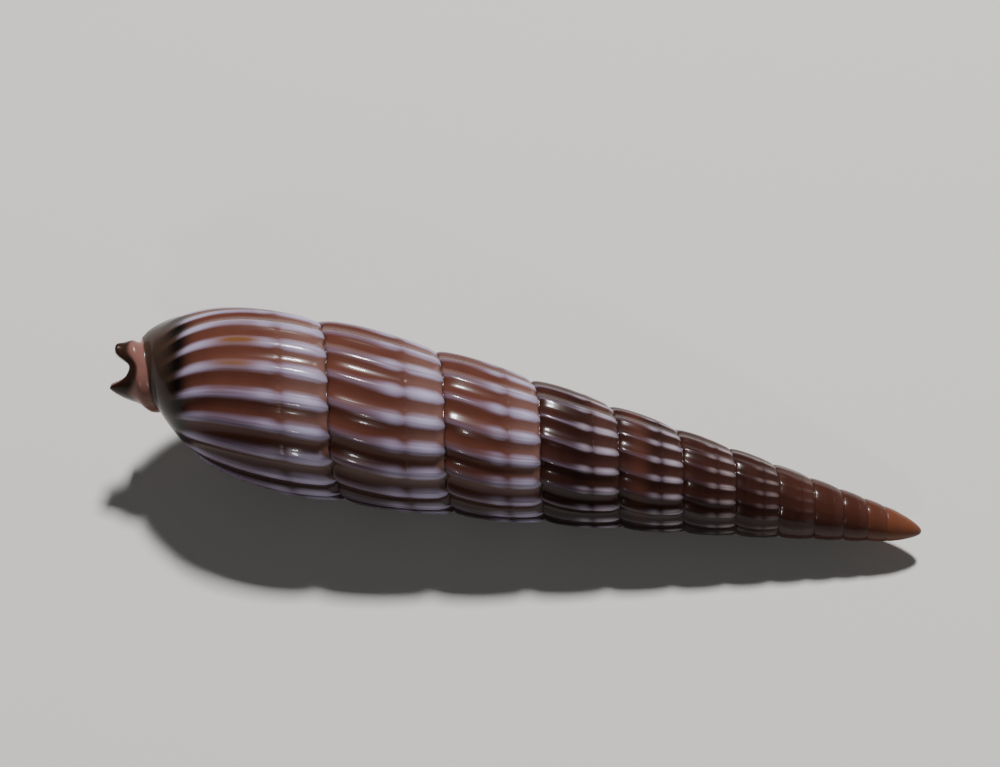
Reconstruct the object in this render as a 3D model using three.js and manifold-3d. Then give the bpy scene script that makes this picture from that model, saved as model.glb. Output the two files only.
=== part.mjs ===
// A slender auger shell, one solid piece of glossy calcium carbonate, lying on its side.
// Lengths are in millimetres and angles in degrees. +X points to the tip of the spire, +Z is up.
//
// The shell grew as one tube coiled around an axis, so it is drawn as it grew. Every place on the wall
// is named by how many turns it lies behind the finished lip, and by its distance down the axis from
// the point that the cone of the spire aims at. The real tip is blunt and starts a little below it.
import * as THREE from "three";
import { mergeVertices } from "three/addons/utils/BufferGeometryUtils.js";
import Module from "manifold-3d";

// Whole shell
const TIP_DISTANCE = 3.64;
const LIP_SUTURE_DISTANCE = 42.9;
const WHORL_RATIO = 0.825;
const WIDEST_DISTANCE = 41.3;
const WIDEST_RADIUS = 5.34;
const OUTLINE_POWER = 1.4;
const TIP_DOME_LENGTH = 2.2;
const LIP_ANGLE = 120;

// Whorl sides: a shallow barrel between two pinched sutures
const SUTURE_PINCH = 0.05;
const BARREL_RISE = 0.09;
const BARREL_FLATNESS = 0.4;
const RIB_LEAN = 3;

// Axial ribs, counted from a little behind the lip. The gaps between them start below a whorl's upper
// edge, run on under the edge of the next whorl, and fade out towards the neck.
const RIBS_PER_TURN = 19.25;
const FIRST_RIB = 0.25;
const RIB_DEPTH = 0.042;
const RIB_SCALLOP = 0.14;
const SCALLOP_START_TURNS = 0.05;
const GAP_START_SLOPE = 12;
const RIBLESS_BASE_SHARES = [0.7, 0.97];
const RIBLESS_TURN = 9.5;
const RIB_FADING_TURNS = 6.5;
const GAP_FLATNESS = 0.7;

// The lower edge of the last whorl's side, and where the whorl before it is fully covered
const SHOULDER_DROP = 3.6;
const COVERING_TURNS = [0.7, 1];

// Base of the last whorl, its neck, the raised band around the neck and the open end of the canal
const NECK_DISTANCE = 52.4;
const NECK_PITCH = 4.9;
const BASE_LENGTH = 9.37;
const CORNER_SHIFT = 5.7;
const BASE_ROUNDNESS = 4;
const BASE_CLOSE_POWER = 0.8;
const NECK_RADIUS = 2.12;
const PILLAR_RADIUS = 0.75;
const PILLAR_NARROWING_TURNS = [0.55, 0.8];
const BAND_OFFSET = 0.78;
const BAND_HALF_WIDTH = 0.42;
const BAND_HEIGHT = 0.24;
const CANAL_TAPER = 0.32;
const END_DISTANCE = 52.3;
const PILLAR_END_RISE = 0.5;
const PILLAR_END_TURNS = [0.6, 0.9];
const CANAL_FLOOR_DISTANCE = 51.9;
const END_LOBES = [
  { angle: 30, spread: 60, reach: 0.25, bluntness: 2 },
  { angle: 37, spread: 20, reach: 1.15, bluntness: 3 },
  { angle: -46, spread: 26, reach: 1.25, bluntness: 1.5 },
];
const KNOB = { angle: 37, spread: 18, flare: 0.35 };
const LIP_SWEEP = 40;
const BASE_SWEEP = 8;

// Mouth
const MOUTH_DEPTH_TURNS = 0.52;
const LIP_EDGE_THICKNESS = 0.2;
const WALL_THICKNESS = 0.45;
const WALL_THICKENING_TURNS = 0.15;

// How it lies: the back is turned up and to the front, the tip dips, and worn flats carry it
const BACK_ELEVATION = 61;
const TIP_DIP = 5.6;
const FLAT_DEPTH = 0.25;
const CUTTER_SIZE = 200;

// Mesh density: four steps to a rib, and longer strides on the smooth first whorls
const STEPS = 77;
const STRIDE = 7;
const COARSE_FROM_STEP = 9 * STEPS;
const SPIRE_STEPS = COARSE_FROM_STEP + 38 * STRIDE;
const MOUTH_STEPS = Math.round(MOUTH_DEPTH_TURNS * STEPS);
const WHORL_ROWS = [0, 0.1, 0.5, 0.85, 1];
const BASE_ROWS = [0.08, 0.36, 0.66, 0.87, 1];
const NECK_ROWS = [0.3, 0.55, 1];
const END_ROWS = [0.2, 0.6];

const radians = THREE.MathUtils.degToRad;
const mix = THREE.MathUtils.lerp;
const smooth = THREE.MathUtils.smoothstep;
const clamp = THREE.MathUtils.clamp;

// 1 on a rib's crest and 0 in the gap between two ribs
function rib(turn) {
  const away = 0.5 - 0.5 * Math.cos(2 * Math.PI * (RIBS_PER_TURN * turn - FIRST_RIB));
  return 1 - away ** GAP_FLATNESS;
}

// How strong the ribs are: full on the later whorls, none on the first smooth ones
function ribStrength(turn) {
  return 1 - smooth(turn, RIBLESS_TURN - RIB_FADING_TURNS, RIBLESS_TURN);
}

// The suture, where a whorl's upper edge lies on the whorl before it, scalloped by the rib ends
function sutureDistance(turn) {
  const even = LIP_SUTURE_DISTANCE * WHORL_RATIO ** turn;
  const grown = clamp(1 + turn / SCALLOP_START_TURNS, 0, 1);
  const scallop = (RIB_SCALLOP * even) / LIP_SUTURE_DISTANCE;
  return even - scallop * rib(turn) * ribStrength(turn) * grown;
}

// The smooth outline that all whorls follow, with a rounded tip
function outlineRadius(distance) {
  const away = Math.abs(1 - distance / WIDEST_DISTANCE);
  const fromTip = clamp((distance - TIP_DISTANCE) / TIP_DOME_LENGTH, 0, 1);
  return WIDEST_RADIUS * (1 - away ** OUTLINE_POWER) * Math.sqrt(1 - (1 - fromTip) ** 2);
}

// 1 where the next whorl sits close by, 0 on the free part of the last whorl
function covered(turn) {
  return smooth(turn, ...COVERING_TURNS);
}

function neckDistance(turn) {
  return NECK_DISTANCE - NECK_PITCH * turn;
}

// 0 where the base starts to close in, 1 at the neck
function baseShare(turn, distance) {
  const start = neckDistance(turn) - BASE_LENGTH + CORNER_SHIFT * covered(turn);
  return clamp((distance - start) / (neckDistance(turn) - start), 0, 1);
}

// How far down its own whorl a place lies: 0 at the upper suture, 1 at the lower one
function whorlShare(turn, distance) {
  const top = sutureDistance(turn);
  return clamp((distance - top) / (sutureDistance(turn - 1) - top), 0, 1);
}

// Radius of the whorl's side, without base or neck
function sideRadius(turn, distance) {
  const share = whorlShare(turn, distance);
  const arc = (4 * share * (1 - share)) ** BARREL_FLATNESS;
  const barrel = share < 0.5 ? arc : mix(1, arc, covered(turn));
  const started = Math.min(1, share * GAP_START_SLOPE);
  const ownGap = (1 - rib(turn)) * ribStrength(turn) * started;
  const gapBelow = (1 - rib(turn + 1)) * ribStrength(turn + 1) * (1 - started);
  const gap = RIB_DEPTH * (ownGap + gapBelow);
  return outlineRadius(distance) * (1 - SUTURE_PINCH + BARREL_RISE * barrel - gap);
}

// The pillar of the shell is thin inside the mouth and wide where the neck's wall covers it
function neckRadius(turn) {
  return mix(NECK_RADIUS, PILLAR_RADIUS, smooth(turn, ...PILLAR_NARROWING_TURNS));
}

// Angle around the axis of the neck, in degrees, 0 at the middle of the back
function neckAngle(turn) {
  return LIP_ANGLE - LIP_SWEEP - 360 * turn;
}

// The open end of the canal: two lobes with the notch between them
function endDistance(turn) {
  const angle = neckAngle(turn);
  let distance = END_DISTANCE - PILLAR_END_RISE * smooth(turn, ...PILLAR_END_TURNS);
  for (const lobe of END_LOBES) {
    const away = Math.abs((angle - lobe.angle) / lobe.spread);
    distance += lobe.reach * Math.exp(-(away ** lobe.bluntness));
  }
  return distance;
}

// Radius of the neck and of its raised band. It tapers to the open end, but flares at the upper lobe.
function neckSideRadius(turn, distance) {
  const neck = neckDistance(turn);
  const onBand = (distance - neck - BAND_OFFSET) / BAND_HALF_WIDTH;
  const band = BAND_HEIGHT * Math.exp(-(onBand ** 2));
  const onKnob = (neckAngle(turn) - KNOB.angle) / KNOB.spread;
  const flare = KNOB.flare * Math.exp(-(onKnob ** 2));
  const along = clamp((distance - neck) / (endDistance(turn) - neck), 0, 1);
  const size = neckRadius(turn) / NECK_RADIUS;
  return neckRadius(turn) + size * (band + along * (flare - CANAL_TAPER));
}

// Radius of the outer wall anywhere on the last whorl and on the pillar inside the mouth
function bodyRadius(turn, distance) {
  if (distance > neckDistance(turn)) return neckSideRadius(turn, distance);
  const closing = (1 - baseShare(turn, distance) ** BASE_ROUNDNESS) ** BASE_CLOSE_POWER;
  const neck = neckSideRadius(turn, neckDistance(turn));
  const side = sideRadius(turn, distance);
  const ribless = smooth(baseShare(turn, distance), ...RIBLESS_BASE_SHARES);
  const crest = side / (1 - RIB_DEPTH * (1 - rib(turn)));
  return neck + (mix(side, crest, ribless) - neck) * closing;
}

// Radius of the wall's inner face: a wall of the stated thickness, thinning out at the suture
function innerRadius(turn, distance) {
  const outer = bodyRadius(turn, distance);
  const room = Math.max(0, outer - bodyRadius(turn + 1, distance));
  const grown = smooth(turn, 0, WALL_THICKENING_TURNS);
  const thickness = mix(LIP_EDGE_THICKNESS, WALL_THICKNESS, grown);
  return outer - (thickness * room) / (room + thickness || 1);
}

// Angle around the axis: growth lines lean a little on the whorls, and sweep back at the base
function wallAngle(turn, distance, isBody) {
  const lean = -RIB_LEAN * Math.sin(Math.PI * whorlShare(turn, distance));
  if (!isBody) return LIP_ANGLE - 360 * turn + lean;
  const base = baseShare(turn, distance);
  const sweep = (LIP_SWEEP - BASE_SWEEP) * base ** 6;
  return (
    LIP_ANGLE - 360 * turn + lean * covered(turn) - BASE_SWEEP * base ** 1.5 - sweep
  );
}

// All points of the surface, each kept once under its own name
const points = [];
const named = new Map();

function point(name, angle, distance, radius) {
  if (!named.has(name)) {
    const turned = radians(angle + BACK_ELEVATION);
    points.push([-distance, -radius * Math.cos(turned), radius * Math.sin(turned)]);
    named.set(name, points.length - 1);
  }
  return named.get(name);
}

// On a spire whorl. The lower suture is the upper suture of the whorl that grew next.
function onSpire(step, row) {
  if (row === WHORL_ROWS.length - 1) return onWhorl(step - STEPS, 0);
  const turn = step / STEPS;
  const distance = mix(sutureDistance(turn), sutureDistance(turn - 1), WHORL_ROWS[row]);
  const angle = wallAngle(turn, distance, false);
  return point(`whorl ${step} ${row}`, angle, distance, sideRadius(turn, distance));
}

// Rows of the last whorl, from its suture down to the open end of the canal
const BODY_ROW_COUNT = WHORL_ROWS.length + BASE_ROWS.length + NECK_ROWS.length;
const SHOULDER_ROW = WHORL_ROWS.length - 1;
const CORNER_ROW = SHOULDER_ROW + 1;

function bodyDistance(turn, row) {
  const top = sutureDistance(turn);
  const ends = sutureDistance(0) - LIP_SUTURE_DISTANCE;
  const shoulder = LIP_SUTURE_DISTANCE + SHOULDER_DROP * (1 - turn) + ends * covered(turn);
  if (row <= SHOULDER_ROW) return mix(top, shoulder, WHORL_ROWS[row]);
  const baseRow = row - WHORL_ROWS.length;
  if (baseRow < BASE_ROWS.length) return mix(shoulder, neckDistance(turn), BASE_ROWS[baseRow]);
  const neckRow = baseRow - BASE_ROWS.length;
  return mix(neckDistance(turn), endDistance(turn), NECK_ROWS[neckRow]);
}

function onBody(step, row) {
  if (step === STEPS && row <= SHOULDER_ROW) return onSpire(step, row);
  const turn = step / STEPS;
  const distance = bodyDistance(turn, row);
  const angle = wallAngle(turn, distance, true);
  const name = row === 0 ? `whorl ${step} 0` : `body ${step} ${row}`;
  return point(name, angle, distance, bodyRadius(turn, distance));
}

function onWhorl(step, row) {
  return step < STEPS ? onBody(step, row) : onSpire(step, row);
}

// The pillar inside the mouth: the base and neck of the whorl before, row for row. The corner row is
// where the wall's inner face leaves it, a wall's thickness below the suture.
function onPillar(step, row) {
  if (step === STEPS) return onBody(step, row);
  const turn = step / STEPS;
  const top = sutureDistance(turn - 1);
  const baseRow = row - WHORL_ROWS.length;
  const neckRow = baseRow - BASE_ROWS.length;
  const distance =
    neckRow < 0
      ? mix(top, neckDistance(turn), BASE_ROWS[baseRow])
      : mix(neckDistance(turn), endDistance(turn), NECK_ROWS[neckRow]);
  const angle = wallAngle(turn, distance, true);
  return point(`pillar ${step} ${row}`, angle, distance, bodyRadius(turn, distance));
}

function onInnerWall(step, row) {
  if (row === 0) return onPillar(step + STEPS, CORNER_ROW);
  const turn = step / STEPS;
  const distance = bodyDistance(turn, row);
  const angle = wallAngle(turn, distance, true);
  return point(`inner ${step} ${row}`, angle, distance, innerRadius(turn, distance));
}

// The closed end between the canal's rim and the axis. Row 0 is the rim.
const LAST_ROW = BODY_ROW_COUNT - 1;
const AXIS_ROW = END_ROWS.length + 1;

function onEnd(step, row) {
  if (row === 0) return step <= STEPS ? onBody(step, LAST_ROW) : onPillar(step, LAST_ROW);
  if (row === AXIS_ROW) return point("canal axis", 0, CANAL_FLOOR_DISTANCE, 0);
  if (row === 1 && step === MOUTH_STEPS) return onInnerWall(step, LAST_ROW);
  const turn = step / STEPS;
  const rim = endDistance(turn);
  const rimRadius = bodyRadius(turn, rim);
  const inwards = END_ROWS[row - 1];
  const distance = mix(rim, CANAL_FLOOR_DISTANCE, inwards);
  return point(`end ${step} ${row}`, neckAngle(turn), distance, rimRadius * (1 - inwards));
}

const faces = [];

function triangle(a, b, c) {
  if (a !== b && b !== c && c !== a) faces.push([a, b, c]);
}

// Joins two rows of points that run side by side
function band(left, right) {
  for (let k = 1; k < left.length; k += 1) {
    triangle(left[k - 1], left[k], right[k - 1]);
    triangle(left[k], right[k], right[k - 1]);
  }
}

function column(place, step, first, last) {
  return Array.from({ length: last - first + 1 }, (_, k) => place(step, first + k));
}

function sheet(place, firstStep, lastStep, firstRow, lastRow) {
  for (let step = firstStep; step < lastStep; step += 1) {
    band(column(place, step, firstRow, lastRow), column(place, step + 1, firstRow, lastRow));
  }
}

sheet(onBody, 0, STEPS, 0, LAST_ROW);
sheet(onSpire, STEPS, COARSE_FROM_STEP, 0, SHOULDER_ROW);
for (let step = COARSE_FROM_STEP; step < SPIRE_STEPS; step += STRIDE) {
  const here = column(onSpire, step, 0, SHOULDER_ROW - 1);
  const behind = column(onSpire, step + STRIDE, 0, SHOULDER_ROW - 1);
  band(here, behind);
  const suture = step - STEPS;
  const stride = suture < COARSE_FROM_STEP ? 1 : STRIDE;
  for (let k = 0; k < STRIDE; k += stride) {
    triangle(here.at(-1), onWhorl(suture + k, 0), onWhorl(suture + k + stride, 0));
  }
  triangle(here.at(-1), onWhorl(suture + STRIDE, 0), behind.at(-1));
}
sheet(onPillar, STEPS, STEPS + MOUTH_STEPS, CORNER_ROW, LAST_ROW);
sheet(onEnd, MOUTH_STEPS, STEPS + MOUTH_STEPS, 0, AXIS_ROW);

// Tip: a fan over the start of the coil
const tip = point("tip", 0, TIP_DISTANCE, 0);
const rimOfTip = [];
for (let step = SPIRE_STEPS - STEPS; step <= SPIRE_STEPS; step += STRIDE) {
  rimOfTip.push(onSpire(step, 0));
}
for (let row = 1; row <= SHOULDER_ROW; row += 1) rimOfTip.push(onSpire(SPIRE_STEPS, row));
for (let k = 1; k < rimOfTip.length; k += 1) triangle(rimOfTip[k], tip, rimOfTip[k - 1]);

// Mouth: the wall's inner face, the lip's edge, the canal's rim, and the end of the hollow
for (let step = 0; step < MOUTH_STEPS; step += 1) {
  const here = column(onInnerWall, step, 0, LAST_ROW);
  const behind = column(onInnerWall, step + 1, 0, LAST_ROW);
  band(behind, here);
  const rimOuter = [onBody(step, LAST_ROW), onBody(step + 1, LAST_ROW)];
  band([here[LAST_ROW], behind[LAST_ROW]], rimOuter);
}
band(column(onInnerWall, 0, 0, LAST_ROW), column(onBody, 0, 0, LAST_ROW));
const outerEdge = [
  ...column(onInnerWall, MOUTH_STEPS, 0, LAST_ROW),
  ...column(onEnd, MOUTH_STEPS, 2, AXIS_ROW),
];
const lastStep = STEPS + MOUTH_STEPS;
const pillarEdge = [
  ...column(onPillar, lastStep, CORNER_ROW, LAST_ROW),
  ...column(onEnd, lastStep, 1, AXIS_ROW),
];
while (pillarEdge.length < outerEdge.length) pillarEdge.unshift(pillarEdge[0]);
band(pillarEdge, outerEdge);

// Dips the tip
const posed = new THREE.BufferGeometry();
posed.setAttribute("position", new THREE.Float32BufferAttribute(points.flat(), 3));
posed.setIndex(faces.flat());
posed.rotateY(radians(TIP_DIP));

// Worn flats under the belly, all cut at one level
const wasm = await Module();
wasm.setup();

function toSolid(geometry) {
  const vertProperties = new Float32Array(geometry.attributes.position.array);
  const triVerts = new Uint32Array(geometry.index.array);
  return new wasm.Manifold(new wasm.Mesh({ numProp: 3, vertProperties, triVerts }));
}

function toGeometry(solid) {
  const mesh = solid.getMesh();
  const geometry = new THREE.BufferGeometry();
  geometry.setAttribute("position", new THREE.Float32BufferAttribute(mesh.vertProperties, 3));
  geometry.setIndex(Array.from(mesh.triVerts));
  return geometry;
}

function cutter(top) {
  const box = new THREE.BoxGeometry(CUTTER_SIZE, CUTTER_SIZE, CUTTER_SIZE);
  box.deleteAttribute("normal");
  box.deleteAttribute("uv");
  return mergeVertices(box).translate(0, 0, top - CUTTER_SIZE / 2);
}

posed.computeBoundingBox();
const ground = posed.boundingBox.min.z + FLAT_DEPTH;
const geometry = toGeometry(toSolid(posed).subtract(toSolid(cutter(ground))));

// The frame's origin is under the middle of the shell, on the surface that it lies on
geometry.computeBoundingBox();
const { min, max } = geometry.boundingBox;
const glossy = new THREE.MeshStandardMaterial({ color: 0x5a3328, roughness: 0.25, metalness: 0 });
const shell = new THREE.Mesh(geometry, glossy);
shell.name = "shell";
shell.position.set(-(min.x + max.x) / 2, -(min.y + max.y) / 2, -ground);

const specimen = new THREE.Group();
specimen.add(shell);
export default specimen;
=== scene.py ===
# A slender auger shell on a pale table, seen from its back. Every object is in metres, in the frame of
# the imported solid, and the shell's own formulas are in millimetres, as the solid's are.
import bpy
import math
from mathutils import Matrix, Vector


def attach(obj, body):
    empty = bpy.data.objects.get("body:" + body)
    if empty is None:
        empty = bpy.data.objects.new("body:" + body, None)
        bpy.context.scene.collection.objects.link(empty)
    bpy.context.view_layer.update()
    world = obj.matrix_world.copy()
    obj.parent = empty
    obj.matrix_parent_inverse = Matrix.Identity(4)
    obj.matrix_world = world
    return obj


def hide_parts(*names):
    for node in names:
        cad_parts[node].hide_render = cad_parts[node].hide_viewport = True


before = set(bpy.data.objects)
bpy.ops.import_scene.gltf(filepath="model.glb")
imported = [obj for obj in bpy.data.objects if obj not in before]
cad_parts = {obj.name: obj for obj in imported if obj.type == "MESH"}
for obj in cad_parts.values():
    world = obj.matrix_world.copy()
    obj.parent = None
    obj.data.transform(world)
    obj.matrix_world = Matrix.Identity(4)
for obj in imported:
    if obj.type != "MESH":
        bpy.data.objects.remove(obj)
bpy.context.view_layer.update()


# The shell is one tube of calcium carbonate, which grew coiled to the right around an axis. Each place on
# it is named by how many turns it lies behind the finished lip, and by its row from the suture down the
# whorl's side (0 to 1), over the base (1 to 2) and along the neck (2 to 3). Angles are in degrees.
MM = 0.001
TIP_DISTANCE = 3.64
LIP_SUTURE_DISTANCE = 42.9
LIP_ANGLE = 120
TURNS = 137 / 11
OUTLINE_POWER = 1.4
TIP_DOME_LENGTH = 2.2
BARREL_FLATNESS = 0.4
RIB_LEAN = 3
RIBLESS_TURN = 9.5
RIB_FADING_TURNS = 6.5
GAP_FLATNESS = 0.7
RIB_SCALLOP = 0.14
SCALLOP_START_TURNS = 0.05
FIRST_RIB = 0.25
GAP_START_SLOPE = 12
SMOOTH_TIP = (4.7, 7)
SHOULDER_DROP = 3.6
COVERING_TURNS = (0.7, 1)
NECK_DISTANCE = 52.4
NECK_PITCH = 4.9
NECK_LAST_TURN = 1.6
BASE_LENGTH = 9.37
CORNER_SHIFT = 5.7
BASE_ROUNDNESS = 4
BASE_CLOSE_POWER = 0.8
RIBLESS_BASE_SHARES = (0.7, 0.97)
PILLAR_RADIUS = 0.75
PILLAR_NARROWING_TURNS = (0.55, 0.8)
BAND_OFFSET = 0.78
BAND_HALF_WIDTH = 0.42
BAND_HEIGHT = 0.24
CANAL_TAPER = 0.32
END_DISTANCE = 52.3
PILLAR_END_RISE = 0.5
PILLAR_END_TURNS = (0.6, 0.9)
# Angle, spread, reach and bluntness of each lobe at the neck's open end
END_LOBES = ((30, 60, 0.25, 2), (37, 20, 1.15, 3), (-46, 26, 1.25, 1.5))
KNOB_ANGLE = 37
KNOB_SPREAD = 18
KNOB_FLARE = 0.35
CANAL_FLOOR_DISTANCE = 51.9
LIP_SWEEP = 40
BASE_SWEEP = 8
LIP_SWEEP_POWER = 6
BASE_SWEEP_POWER = 1.5
MOUTH_TURNS = 40 / 77
LIP_EDGE_THICKNESS = 0.2
WALL_THICKNESS = 0.45
WALL_THICKENING_TURNS = 0.15
CORNER_ROUNDING_ROWS = 0.12
BACK_ELEVATION = 61
TIP_DIP = 5.6
WELDING_DISTANCE = 0.0008

# Both counts of turns above are whole numbers of these columns, so that the patches meet point to point
COLUMNS_PER_TURN = 154
SIDE_ROWS = 36
BASE_ROWS = 24
NECK_ROWS = 12
CORNER_ROWS = 1
TIP_ROWS = 5
END_ROWS = 6
EDGE_ROWS = 1
LAST_ROW = SIDE_ROWS + BASE_ROWS + NECK_ROWS
ROW_CROWDING = 0.07
INNER_FACE = 10


def add(tree, kind, settings=None, inputs=None):
    """A new node with its settings made first and its sockets then filled. Gives its first live output."""
    node = tree.nodes.new(kind)
    for name, setting in (settings or {}).items():
        setattr(node, name, setting)
    for name, given in (inputs or {}).items():
        live = [s for s in node.inputs if s.enabled]
        socket = live[name] if isinstance(name, int) else next(s for s in live if s.name == name)
        if isinstance(given, Value):
            tree.links.new(given.socket, socket)
        else:
            socket.default_value = given
    outputs = [s for s in node.outputs if s.enabled]
    return Value(outputs[0]) if outputs else node


class Value:
    """An output socket that takes part in Python expressions. The same sum is only ever built once."""

    built = {}

    def __init__(self, socket):
        self.socket = socket
        self.tree = socket.id_data

    def out(self, name):
        return Value(next(s for s in self.socket.node.outputs if s.enabled and s.name == name))

    def once(self, kind, settings, inputs):
        key = (self.tree.name, kind, *settings.values(), *inputs.values())
        if key not in self.built:
            self.built[key] = add(self.tree, kind, settings, inputs)
        return self.built[key]

    def math(self, operation, *operands):
        return self.once("ShaderNodeMath", {"operation": operation}, dict(enumerate(operands)))

    def __add__(self, other):
        return self.math("ADD", self, other)

    def __sub__(self, other):
        return self.math("SUBTRACT", self, other)

    def __rsub__(self, other):
        return self.math("SUBTRACT", other, self)

    def __mul__(self, other):
        return self.math("MULTIPLY", self, other)

    def __truediv__(self, other):
        return self.math("DIVIDE", self, other)

    def __pow__(self, other):
        return self.math("POWER", self, other)

    def __rpow__(self, other):
        return self.math("POWER", other, self)

    def __neg__(self):
        return self.math("MULTIPLY", self, -1)

    def __abs__(self):
        return self.math("ABSOLUTE", self)

    def __gt__(self, other):
        return self.math("GREATER_THAN", self, other)

    def __lt__(self, other):
        return self.math("LESS_THAN", self, other)

    __radd__ = __add__
    __rmul__ = __mul__

    def least(self, other):
        return self.math("MINIMUM", self, other)

    def most(self, other):
        return self.math("MAXIMUM", self, other)

    def between(self, low=0.0, high=1.0):
        return self.most(low).least(high)

    def step(self, low, high):
        """0 below low, 1 above high, and smooth between them."""
        settings = {"interpolation_type": "SMOOTHSTEP"}
        inputs = {"Value": self, "From Min": low, "From Max": high}
        return self.once("ShaderNodeMapRange", settings, inputs)

    def fraction(self):
        return self.math("FRACT", self)

    def sin(self):
        return self.math("SINE", self)

    def cos(self):
        return self.math("COSINE", self)

    def hump(self, middle, width):
        """1 at the middle, falling away as a bell on both sides."""
        away = (self - middle) / width
        return math.e ** -(away * away)


def blend(a, b, share):
    return a + (b - a) * share


growth = bpy.data.node_groups.new("auger shell growth", "GeometryNodeTree")
growth.interface.new_socket("Geometry", in_out="OUTPUT", socket_type="NodeSocketGeometry")
DRIVING_SIZES = {
    "Whorl ratio": 0.825,
    "Widest distance": 41.3,
    "Widest radius": 5.34,
    "Suture pinch": 0.05,
    "Barrel rise": 0.09,
    "Ribs per turn": 19.25,
    "Rib depth": 0.042,
    "Neck radius": 2.12,
}
for name in DRIVING_SIZES:
    growth.interface.new_socket(name, in_out="INPUT", socket_type="NodeSocketFloat")
growth.interface.new_socket("Finish", in_out="INPUT", socket_type="NodeSocketMaterial")
given = add(growth, "NodeGroupInput")
whorl_ratio = given.out("Whorl ratio")
widest_distance = given.out("Widest distance")
widest_radius = given.out("Widest radius")
suture_pinch = given.out("Suture pinch")
barrel_rise = given.out("Barrel rise")
ribs_per_turn = given.out("Ribs per turn")
rib_depth = given.out("Rib depth")
neck_width = given.out("Neck radius")


def rib(turn):
    """1 on a rib's crest and 0 in the gap between two ribs."""
    away = 0.5 - 0.5 * ((turn * ribs_per_turn - FIRST_RIB) * math.tau).cos()
    return 1 - away.most(0) ** GAP_FLATNESS


def rib_strength(turn):
    return 1 - turn.step(RIBLESS_TURN - RIB_FADING_TURNS, RIBLESS_TURN)


def suture_distance(turn):
    """From the point that the spire aims at, down the axis, scalloped by the rib ends."""
    even = LIP_SUTURE_DISTANCE * whorl_ratio ** turn
    grown = (1 + turn / SCALLOP_START_TURNS).between()
    return even - even * (RIB_SCALLOP / LIP_SUTURE_DISTANCE) * rib(turn) * rib_strength(turn) * grown


def outline_radius(distance):
    away = abs(1 - distance / widest_distance)
    short_of_dome = 1 - ((distance - TIP_DISTANCE) / TIP_DOME_LENGTH).between()
    return widest_radius * (1 - away ** OUTLINE_POWER) * (1 - short_of_dome * short_of_dome) ** 0.5


def covered(turn):
    """1 where the next whorl sits close by, 0 on the free part of the last whorl."""
    return turn.step(*COVERING_TURNS)


def neck_distance(turn):
    return NECK_DISTANCE - NECK_PITCH * turn.least(NECK_LAST_TURN)


def base_share(turn, distance):
    neck = neck_distance(turn)
    start = neck - BASE_LENGTH + CORNER_SHIFT * covered(turn)
    return ((distance - start) / (neck - start)).between()


def whorl_share(turn, distance):
    top = suture_distance(turn)
    return ((distance - top) / (suture_distance(turn - 1) - top)).between()


def side_radius(turn, distance):
    share = whorl_share(turn, distance)
    arc = (4 * share * (1 - share)) ** BARREL_FLATNESS
    barrel = blend(arc, blend(1, arc, covered(turn)), share > 0.5)
    started = (share * GAP_START_SLOPE).least(1)
    own_gap = (1 - rib(turn)) * rib_strength(turn) * started
    gap_below = (1 - rib(turn + 1)) * rib_strength(turn + 1) * (1 - started)
    gap = rib_depth * (own_gap + gap_below)
    form = (barrel_rise * barrel - suture_pinch) * distance.step(*SMOOTH_TIP)
    return outline_radius(distance) * (1 + form - gap)


def neck_radius(turn):
    return blend(neck_width, PILLAR_RADIUS, turn.step(*PILLAR_NARROWING_TURNS))


def neck_angle(turn):
    return LIP_ANGLE - LIP_SWEEP - 360 * turn


def end_distance(turn):
    """The open end of the canal: two lobes with the notch between them."""
    distance = END_DISTANCE - PILLAR_END_RISE * turn.step(*PILLAR_END_TURNS)
    for angle, spread, reach, bluntness in END_LOBES:
        away = abs((neck_angle(turn) - angle) / spread)
        distance = distance + reach * math.e ** -(away**bluntness)
    return distance


def neck_side_radius(turn, distance):
    neck = neck_distance(turn)
    radius = neck_radius(turn)
    relative = radius / neck_width
    raised = BAND_HEIGHT * distance.hump(neck + BAND_OFFSET, BAND_HALF_WIDTH)
    flare = KNOB_FLARE * neck_angle(turn).hump(KNOB_ANGLE, KNOB_SPREAD)
    along = ((distance - neck) / (end_distance(turn) - neck)).between()
    return radius + (raised + along * (flare - CANAL_TAPER)) * relative


def wall_radius(turn, distance):
    base = base_share(turn, distance)
    closing = (1 - base ** BASE_ROUNDNESS) ** BASE_CLOSE_POWER
    neck = neck_side_radius(turn, distance.most(neck_distance(turn)))
    side = side_radius(turn, distance)
    crest = side / (1 - rib_depth * (1 - rib(turn)))
    return neck + (blend(side, crest, base.step(*RIBLESS_BASE_SHARES)) - neck) * closing


def wall_angle(turn, distance):
    base = base_share(turn, distance)
    lean = RIB_LEAN * covered(turn) * (whorl_share(turn, distance) * math.pi).sin()
    lean = lean * distance.step(*SMOOTH_TIP)
    sweep = BASE_SWEEP * base**BASE_SWEEP_POWER
    sweep = sweep + (LIP_SWEEP - BASE_SWEEP) * base**LIP_SWEEP_POWER
    return LIP_ANGLE - 360 * turn - lean - sweep


def graded(share):
    """Rows that crowd towards both sutures."""
    return share - ROW_CROWDING * (share * math.tau).sin()


def row_of(index):
    """A row's number from its count of mesh rows. Rows above the first suture run to the tip."""
    side = (index / SIDE_ROWS).between()
    base = ((index - SIDE_ROWS) / BASE_ROWS).between()
    neck = ((index - SIDE_ROWS - BASE_ROWS) / NECK_ROWS).between()
    return graded(side) + base + neck


def triple(x, y, z):
    return add(growth, "ShaderNodeCombineXYZ", None, {"X": x, "Y": y, "Z": z})


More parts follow.
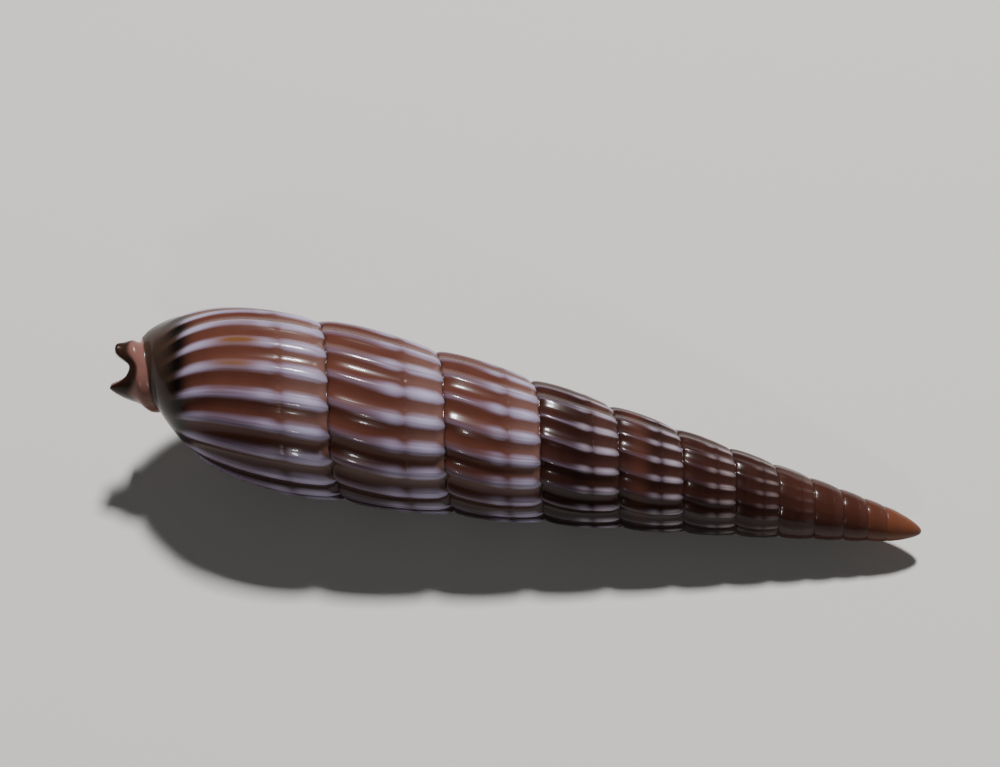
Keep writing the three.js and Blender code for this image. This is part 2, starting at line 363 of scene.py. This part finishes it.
def shell_point(place):
    """The point of the wall at a place (turn, mesh row, 1 on the inner face and 0 on the outer one)."""
    parts = add(growth, "ShaderNodeSeparateXYZ", None, {0: place})
    turn, index, inner = parts, parts.out("Y"), parts.out("Z")
    row = row_of(index)
    suture = suture_distance(turn)
    neck = neck_distance(turn)
    shoulder = blend(
        LIP_SUTURE_DISTANCE + SHOULDER_DROP * (1 - turn), suture_distance(turn - 1), covered(turn)
    )
    corner = blend(suture, neck_distance(turn + 1), CORNER_ROWS / BASE_ROWS)
    top = blend(suture, corner, inner)
    end = end_distance(turn)
    distance = blend(top, shoulder, row.between())
    distance = blend(distance, neck, (row - 1).between())
    distance = blend(distance, end, (row - 2).between())
    last_suture = LIP_SUTURE_DISTANCE * whorl_ratio**TURNS
    start_suture = LIP_SUTURE_DISTANCE * whorl_ratio ** (TURNS - 1)
    towards_tip = blend(start_suture, last_suture, graded((-index / SIDE_ROWS).between()))
    towards_tip = blend(towards_tip, TIP_DISTANCE, ((-index - SIDE_ROWS) / TIP_ROWS).between())
    distance = blend(distance, suture.least(towards_tip), index < 0)
    outer = wall_radius(turn, distance)
    beside = wall_radius(turn + 1, distance)
    room = (outer - beside).most(0)
    thickness = blend(LIP_EDGE_THICKNESS, WALL_THICKNESS, turn.step(0, WALL_THICKENING_TURNS))
    hollow = outer - thickness * room / (room + thickness)
    away = row.step(0, CORNER_ROUNDING_ROWS)
    hollow = blend(beside, hollow, away)
    inwards = ((index - LAST_ROW) / END_ROWS).between()
    radius = blend(outer, hollow, inner) * (1 - inwards)
    distance = blend(distance, CANAL_FLOOR_DISTANCE, inwards)
    angle = wall_angle(turn, distance)
    angle = blend(wall_angle(turn + 1, distance) + 360, angle, away.most(1 - inner))
    angle = (angle + BACK_ELEVATION) * (math.pi / 180)
    height = radius * angle.sin()
    dip = math.radians(TIP_DIP)
    along = height * math.sin(dip) - distance * math.cos(dip)
    across = -radius * angle.cos()
    up = height * math.cos(dip) + distance * math.sin(dip)
    return triple(along, across, up)


def stored(mesh, name, kind, field, domain="POINT"):
    settings = {"data_type": kind, "domain": domain}
    inputs = {"Geometry": mesh, "Name": name, "Value": field}
    return add(growth, "GeometryNodeStoreNamedAttribute", settings, inputs)


def patch(columns, rows, places):
    """A grid whose points carry the two places that they lie between, and how far along they lie."""
    sizes = {"Size X": 1.0, "Size Y": 1.0, "Vertices X": columns + 1, "Vertices Y": rows + 1}
    grid = add(growth, "GeometryNodeMeshGrid", None, sizes)
    spot = add(growth, "ShaderNodeSeparateXYZ", None, {0: add(growth, "GeometryNodeInputPosition")})
    start, finish, share = places(spot + 0.5, spot.out("Y") + 0.5)
    mesh = stored(grid, "start", "FLOAT_VECTOR", triple(*start))
    mesh = stored(mesh, "finish", "FLOAT_VECTOR", triple(*finish))
    return stored(mesh, "share", "FLOAT", share)


def sheet(turns, indices, inner):
    """A patch that follows one face of the wall."""

    def places(u, v):
        place = (blend(turns[0], turns[1], u), blend(indices[0], indices[1], v), inner)
        return place, place, 0.0

    columns = round((turns[1] - turns[0]) * COLUMNS_PER_TURN)
    return patch(columns, abs(indices[1] - indices[0]), places)


def lip_edge(u, v):
    return (0.0, v * LAST_ROW, 0.0), (0.0, v * LAST_ROW, 1.0), u


def canal_rim(u, v):
    return (u, LAST_ROW, 0.0), (u, LAST_ROW, 1.0), v


def hollow_end(u, v):
    index = v * (LAST_ROW + END_ROWS)
    return (MOUTH_TURNS, index, 1.0), (1 + MOUTH_TURNS, index.most(CORNER), 0.0), u


CORNER = SIDE_ROWS + CORNER_ROWS
patches = [
    (sheet((1, TURNS), (0, SIDE_ROWS), 0.0), True),
    (sheet((0, 1), (0, LAST_ROW), 0.0), True),
    (sheet((1, 1 + MOUTH_TURNS), (CORNER, LAST_ROW), 0.0), True),
    (sheet((TURNS - 1, TURNS), (0, -SIDE_ROWS - TIP_ROWS), 0.0), False),
    (sheet((0, MOUTH_TURNS), (0, LAST_ROW), 1.0), False),
    (sheet((MOUTH_TURNS, 1 + MOUTH_TURNS), (LAST_ROW, LAST_ROW + END_ROWS), 1.0), True),
    (patch(EDGE_ROWS, LAST_ROW, lip_edge), False),
    (patch(COLUMNS_PER_TURN, EDGE_ROWS, canal_rim), True),
    (patch(EDGE_ROWS, LAST_ROW + END_ROWS, hollow_end), False),
]
joined = add(growth, "GeometryNodeJoinGeometry")
join = joined.socket.node
for mesh, turned in reversed(patches):
    if turned:
        mesh = add(growth, "GeometryNodeFlipFaces", None, {"Mesh": mesh})
    growth.links.new(mesh.socket, join.inputs[0])


def carried(name, kind="FLOAT_VECTOR"):
    return add(growth, "GeometryNodeInputNamedAttribute", {"data_type": kind}, {"Name": name})


start = carried("start")
finish = carried("finish")
share = carried("share", "FLOAT")
ends = {"Factor": share, "A": shell_point(start), "B": shell_point(finish)}
spot = add(growth, "ShaderNodeMix", {"data_type": "VECTOR"}, ends)
name_of_place = add(growth, "ShaderNodeSeparateXYZ", None, {0: start})
inside = name_of_place.out("Z").most(share)
growth_map = triple(name_of_place, row_of(name_of_place.out("Y")) + INNER_FACE * inside, 0.0)
mapped = stored(joined, "UVMap", "FLOAT2", growth_map, "CORNER")

# The solid's tip shows where the axis runs, so the shell is laid out from there and cut level below
tip = max((v.co.copy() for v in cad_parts["shell"].data.vertices), key=lambda co: co.x) / MM
dip = math.radians(TIP_DIP)
shift = tip - Vector((-TIP_DISTANCE * math.cos(dip), 0.0, TIP_DISTANCE * math.sin(dip)))
laid = add(growth, "ShaderNodeVectorMath", {"operation": "ADD"}, {0: spot, 1: shift})
table_level = (-LIP_SUTURE_DISTANCE, -LIP_SUTURE_DISTANCE, 0)
laid = add(growth, "ShaderNodeVectorMath", {"operation": "MAXIMUM"}, {0: laid, 1: table_level})
placed = add(growth, "GeometryNodeSetPosition", None, {"Geometry": mapped, "Position": laid})
nearness = {"Geometry": placed, "Distance": WELDING_DISTANCE}
welded = add(growth, "GeometryNodeMergeByDistance", None, nearness)
small = add(growth, "GeometryNodeTransform", None, {"Geometry": welded, "Scale": (MM, MM, MM)})
smooth = add(growth, "GeometryNodeSetShadeSmooth", None, {"Geometry": small})
real = add(growth, "GeometryNodeRealizeInstances", None, {"Geometry": smooth})
for name in ("start", "finish", "share"):
    real = add(growth, "GeometryNodeRemoveAttribute", None, {"Geometry": real, "Name": name})
dressing = {"Geometry": real, "Material": given.out("Finish")}
finished = add(growth, "GeometryNodeSetMaterial", None, dressing)
add(growth, "NodeGroupOutput", None, {"Geometry": finished})

# The finish is a thin gloss over pigment laid down as the shell grew. So every mark is named by its place
# on the growth map: turns behind the lip, and how far down the side, the base or the neck.
SIDE_AT_LIP = 0.4
gloss = bpy.data.materials.new("polished shell")
gloss.use_nodes = True
paint = gloss.node_tree
surface = paint.nodes["Principled BSDF"]
place = add(paint, "ShaderNodeUVMap", {"uv_map": "UVMap"})
turn = add(paint, "ShaderNodeSeparateXYZ", None, {0: place})
row = turn.out("Y")
inside = row > INNER_FACE / 2
row = row - INNER_FACE * inside
side = row.between() * (SIDE_AT_LIP + (1 - SIDE_AT_LIP) * turn.least(1))
on_base = (row - 1).between()
on_neck = (row - 2).between()


def mixed(a, b, share):
    """A colour between a and b."""
    return add(paint, "ShaderNodeMix", {"data_type": "RGBA"}, {"Factor": share, "A": a, "B": b})


def grain(across, along, detail=3.0):
    """Soft noise over the growth map, stretched as its two scales say."""
    stretched = {"X": turn * across, "Y": row * along, "Z": inside}
    at = add(paint, "ShaderNodeCombineXYZ", None, stretched)
    inputs = {"Vector": at, "Scale": 1.0, "Detail": detail}
    return add(paint, "ShaderNodeTexNoise", None, inputs)


# Each rib is pale along its crest: sharp towards the older ribs and soft towards the newer ones. The sharp
# edge is partly painted shade, standing for the shadow on each rib's lower flank. The stripe opens at the
# suture, has a pinch below it, and narrows further down. Pairs are the start and end of a step or the
# middle and width of a hump, in ribs from the crest, in shares of the side, or in turns.
RIB_WANDER = 0.1
OPENING_STEEPNESS = 16
OPENING_ROUNDNESS = 0.4
PINCH = (0.34, 0.04)
PINCH_DEPTH = 0.25
LAST_WHORL_ENDS = (0.7, 1)
LAST_WHORL_WAIST = (0.3, 0.5)
LAST_WHORL_NARROWING = 0.15
WAIST = (0.4, 0.75)
NARROWING = 0.3
DARK_WHORLS = (2.5, 3.3)
DARK_NARROWING = 0.25
NARROWEST = 0.2
# The shorter second step of each pair is the sharp edge of painted shade on the rib's lower flank
STRIPE_EDGES = ((-0.42, -0.04), (0.06, 0.28))
LINE_EDGES = ((-0.2, 0.02), (0.1, 0.2))


def pale_between(edges):
    """1 along a rib's crest, fading out over the given steps on its two sides."""
    return (1 - lag.step(*edges[1])) * lag.step(*edges[0])


dark = turn.step(*DARK_WHORLS)
waist = blend(
    LAST_WHORL_NARROWING * side.step(*LAST_WHORL_WAIST),
    NARROWING * side.step(*WAIST),
    turn.step(*LAST_WHORL_ENDS),
)
width = (side * OPENING_STEEPNESS).between() ** OPENING_ROUNDNESS * (1 - PINCH_DEPTH * side.hump(*PINCH))
width = width * (1 - waist) * (1 - DARK_NARROWING * dark)
wander = RIB_WANDER * (grain(across=6, along=2) - 0.5)
lag = turn * DRIVING_SIZES["Ribs per turn"] - FIRST_RIB + wander
lag = ((lag + 0.5).fraction() - 0.5) / width.most(NARROWEST)
stripe = pale_between(STRIPE_EDGES)
line = pale_between(LINE_EDGES)

# Between the ribs the shell is brown on the newest whorls and darker from there on, paler right under a
# suture, and near black along the lower flank that faces the camera, which is painted shade and stands for
# darker pigment too. It turns browner again on the old whorls, and orange at the tip.
HUE_DARK = (0.02, 0.0075, 0.006, 1)
HUE_BROWN = (0.092, 0.031, 0.021, 1)
HUE_BLACK = (0.005, 0.0035, 0.003, 1)
HUE_BETWEEN = (0.15, 0.076, 0.063, 1)
HUE_TIP = (0.14, 0.047, 0.024, 1)
DARKENING = 0.85
CLOUDINESS = 0.6
CLOUD_LEVEL = 0.4
BROWN_PATCH = {"turns": (4.35, 0.5), "side": (0.68, 0.18), "strength": 0.5}
OLD_WHORLS = (6, 8.5)
OLD_BROWNING = (0.2, 0.5)
TIP_WHORLS = (9, 12)
UNDER_SUTURE = (0.12, 0.46)
PALE_GAPS = (0.8, 0.1)
PALE_GAPS_END = (2.6, 3.4)
# Painted shade: the gaps go near black along the lower flank that faces the camera, away from the lamps;
# this also stands for darker pigment there
PAINTED_SHADE_FLANK = (0.55, 0.12)
PAINTED_SHADE_FLANK_STRENGTH = 0.9
PAINTED_SHADE_FLANK_END = (5, 8)

clouds = CLOUDINESS * (grain(across=3, along=3) - CLOUD_LEVEL)
brown_patch = turn.hump(*BROWN_PATCH["turns"]) * side.hump(*BROWN_PATCH["side"])
pale_gaps = blend(*PALE_GAPS, turn.step(*PALE_GAPS_END))
# Mask of the painted shade on the lower flank, at a fixed angle around the axis
painted_shade_flank = turn.fraction().hump(*PAINTED_SHADE_FLANK) * (1 - turn.step(*PAINTED_SHADE_FLANK_END))
gap_colour = HUE_BROWN
for hue, share in (
    (HUE_DARK, (dark * DARKENING + clouds).between()),
    (HUE_BROWN, BROWN_PATCH["strength"] * brown_patch),
    (HUE_BROWN, blend(*OLD_BROWNING, grain(across=4, along=5)) * turn.step(*OLD_WHORLS)),
    (HUE_TIP, turn.step(*TIP_WHORLS)),
    (HUE_BETWEEN, (1 - side.step(*UNDER_SUTURE)) * pale_gaps),
    # painted shade on the lower flank
    (HUE_BLACK, PAINTED_SHADE_FLANK_STRENGTH * painted_shade_flank),
):
    gap_colour = mixed(gap_colour, hue, share)

# The stripes are mauve and fade on the older whorls, where only a thin line is left below the pinch. Above
# it each widens into a pale lobe. Fine brown lines run through them.
HUE_MAUVE = (0.2, 0.152, 0.225, 1)
HUE_LOBE = (0.4, 0.355, 0.5, 1)
HUE_TAN = (0.36, 0.28, 0.22, 1)
FADING_WHORLS = (3.8, 8)
STRIPE_STRENGTHS = (0.95, 0.2)
STRIPE_WEAKENING = (1.6, 3.6)
STRIPE_BELOW_WAIST = 0.4
WHOLE_STRIPES_END = (0.6, 1.4)
LINE_STRENGTHS = (0.5, 0.1)
LINE_WEAKENING = (2.6, 5)
LOBE_END = (0.26, 0.36)
LOBE_MIDDLE = (0.15, 0.1)
LOBE_STRENGTHS = (0.45, 1)
SECOND_LOBE = (0.44, 0.09)
SECOND_LOBE_STRENGTH = 0.5
LOBE_COVER = 0.9
TANNING = 0.4
TANNED_WHORLS = (4, 6)
FINE_LINES = (0.46, 0.7)
FINE_LINE_STRENGTH = 0.45

fading = 1 - turn.step(*FADING_WHORLS)
lower = blend(STRIPE_BELOW_WAIST, 1, 1 - side.step(*WAIST))
lower = lower.most(1 - turn.step(*WHOLE_STRIPES_END))
full = blend(*STRIPE_STRENGTHS, turn.step(*STRIPE_WEAKENING)) * lower
thin = blend(*LINE_STRENGTHS, turn.step(*LINE_WEAKENING))
mauve_share = (stripe * full * fading).most(line * thin * fading)
first_lobe = (1 - side.step(*LOBE_END)) * blend(*LOBE_STRENGTHS, side.hump(*LOBE_MIDDLE))
lobe = first_lobe.most(SECOND_LOBE_STRENGTH * side.hump(*SECOND_LOBE)) * fading
lobe_colour = mixed(HUE_LOBE, HUE_TAN, TANNING * (dark + turn.step(*TANNED_WHORLS)))
colour = mixed(gap_colour, HUE_MAUVE, mauve_share)
colour = mixed(colour, lobe_colour, stripe * lobe * LOBE_COVER)
fine_lines = grain(across=170, along=1.1, detail=2.0).step(*FINE_LINES)
colour = mixed(colour, gap_colour, FINE_LINE_STRENGTH * fine_lines)

# Single marks: two brown streaks on ribs of the last whorl, a dark line at each suture, pale rib ends and
# dark spots around the olive base, the pinkish band on the neck, and brown horns beside the canal.
HUE_STREAK = (0.14, 0.058, 0.022, 1)
HUE_OLIVE = (0.042, 0.024, 0.017, 1)
HUE_BAND = (0.2, 0.092, 0.075, 1)
HUE_HORN = (0.03, 0.014, 0.009, 1)
HUE_MOUTH = (0.12, 0.05, 0.04, 1)
STREAK = {"turns": (0.235, 0.05), "rows": (1.12, 0.28), "ribs": (-0.08, 0.22), "strength": 1.4}
SUTURE_ABOVE = (0.98, 1)
SUTURE_BELOW = (0, 0.015)
SUTURE_LINE_END = (9.5, 11)
SUTURE_LINE_STRENGTH = 0.7
RIB_ENDS = (0.55, 0.16)
RIB_END_STRENGTH = 0.5
OLIVE_BASE = (0.62, 0.76)
DARK_SPOTS = (0.72, 0.11)
BAND_START = (0.03, 0.12)
HORN_START = (0.5, 0.72)

streak = turn.hump(*STREAK["turns"]) * row.hump(*STREAK["rows"]) * lag.hump(*STREAK["ribs"])
suture = row.step(*SUTURE_ABOVE) * (turn > 1) + 1 - row.step(*SUTURE_BELOW)
suture = (suture * (1 - turn.step(*SUTURE_LINE_END))).between()
horn = on_neck.step(*HORN_START)
for hue, share in (
    (HUE_STREAK, (streak * STREAK["strength"]).least(1)),
    (HUE_DARK, suture * SUTURE_LINE_STRENGTH),
    (HUE_LOBE, stripe * on_base.hump(*RIB_ENDS) * RIB_END_STRENGTH),
    (HUE_OLIVE, on_base.step(*OLIVE_BASE)),
    (HUE_BLACK, (1 - stripe) * on_base.hump(*DARK_SPOTS)),
    (HUE_BAND, on_neck.step(*BAND_START) * (1 - horn)),
    (HUE_HORN, horn),
    (HUE_MOUTH, inside),
):
    colour = mixed(colour, hue, share)
paint.links.new(colour.socket, surface.inputs["Base Color"])
surface.inputs["Roughness"].default_value = 0.22
surface.inputs["Coat Weight"].default_value = 0.16
surface.inputs["Specular IOR Level"].default_value = 0.1
surface.inputs["Coat Roughness"].default_value = 0.06

# Fine growth lines, and the groove below each suture with three small pits to a rib
GROWTH_LINE_HEIGHT = 0.3
GROOVE = (0.33, 0.018)
GROOVE_DEPTHS = (0.15, 0.45)
PITS_PER_RIB = 3
RELIEF = 0.06 * MM
pit = (turn * (DRIVING_SIZES["Ribs per turn"] * PITS_PER_RIB * math.tau)).sin() * 0.5 + 0.5
groove = side.hump(*GROOVE) * blend(*GROOVE_DEPTHS, pit)
height = grain(across=260, along=1.5) * GROWTH_LINE_HEIGHT - groove
relief = {"Height": height, "Strength": 0.5, "Distance": RELIEF}
bump = add(paint, "ShaderNodeBump", None, relief)
paint.links.new(bump.socket, surface.inputs["Normal"])

# The form is grown once, and kept as a plain mesh
seed = bpy.data.meshes.new("shell seed")
grown = bpy.data.objects.new("shell seed", seed)
bpy.context.collection.objects.link(grown)
modifier = grown.modifiers.new("growth", "NODES")
modifier.node_group = growth
for socket in growth.interface.items_tree:
    if socket.in_out == "INPUT":
        modifier[socket.identifier] = DRIVING_SIZES.get(socket.name, gloss)
result = grown.evaluated_get(bpy.context.evaluated_depsgraph_get())
shell = bpy.data.objects.new("auger_shell", bpy.data.meshes.new_from_object(result))
bpy.context.collection.objects.link(shell)
bpy.data.objects.remove(grown)
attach(shell, "root")
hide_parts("shell")


# The table under the shell is a wide flat board with a pale matt coat of paint. It is sprayed all over and
# has no edge in sight.
TABLE_HALF = 1.5
TABLE_COLOUR = (0.62, 0.605, 0.58, 1)
board = bpy.data.meshes.new("table")
corners = [(x * TABLE_HALF, y * TABLE_HALF, 0.0) for x, y in ((-1, -1), (1, -1), (1, 1), (-1, 1))]
board.from_pydata(corners, [], [(0, 1, 2, 3)])
floor = bpy.data.objects.new("table", board)
bpy.context.collection.objects.link(floor)
pale_paint = bpy.data.materials.new("pale matt paint")
pale_paint.use_nodes = True
board_surface = pale_paint.node_tree.nodes["Principled BSDF"]
board_surface.inputs["Base Color"].default_value = TABLE_COLOUR
board_surface.inputs["Roughness"].default_value = 0.8
board.materials.append(pale_paint)


# The light comes from two square lamps on stands, with cloth stretched over a metal frame: a large bright
# one behind the shell and a small weak one in front. A pale room adds a little from all sides.
def soft_box(name, place, size, watts):
    """A square lamp that faces the middle of the table."""
    lamp = bpy.data.lights.new(name, "AREA")
    lamp.size = size
    lamp.energy = watts
    box = bpy.data.objects.new(name, lamp)
    box.location = place
    box.rotation_euler = (-Vector(place)).to_track_quat("-Z", "Y").to_euler()
    bpy.context.collection.objects.link(box)


soft_box("window", place=(0.0, 0.3, 0.46), size=0.06, watts=5.0)
soft_box("fill", place=(0.0, -0.36, 0.24), size=0.025, watts=0.2)
room = bpy.data.worlds.new("room")
room.use_nodes = True
room.node_tree.nodes["Background"].inputs["Color"].default_value = (1, 1, 1, 1)
room.node_tree.nodes["Background"].inputs["Strength"].default_value = 0.05
bpy.context.scene.world = room


# The camera is a metal box with a long glass lens on a tripod. It stands in front, high up and turned a
# little, so that the tip comes nearer, and is shifted so that the shell lies right and low of the middle.
CAMERA_AZIMUTH = math.radians(10.13)
CAMERA_ELEVATION = math.radians(61)
CAMERA_DISTANCE = 168.3 * MM
CAMERA_AIM = Vector((0, 0, 5.0)) * MM
FRAME_SHIFT = Vector((-1.18, 3.65)) * MM
LENS_LENGTH = 100
right = Vector((math.cos(CAMERA_AZIMUTH), math.sin(CAMERA_AZIMUTH), 0))
level_back = Vector((math.sin(CAMERA_AZIMUTH), -math.cos(CAMERA_AZIMUTH), 0))
back = level_back * math.cos(CAMERA_ELEVATION) + Vector((0, 0, math.sin(CAMERA_ELEVATION)))
above = back.cross(right)
lens = bpy.data.cameras.new("camera")
lens.lens = LENS_LENGTH
camera = bpy.data.objects.new("camera", lens)
camera.location = CAMERA_AIM + back * CAMERA_DISTANCE + right * FRAME_SHIFT.x + above * FRAME_SHIFT.y
camera.rotation_mode = "QUATERNION"
camera.rotation_quaternion = (-back).to_track_quat("-Z", "Y")
bpy.context.collection.objects.link(camera)
bpy.context.scene.camera = camera
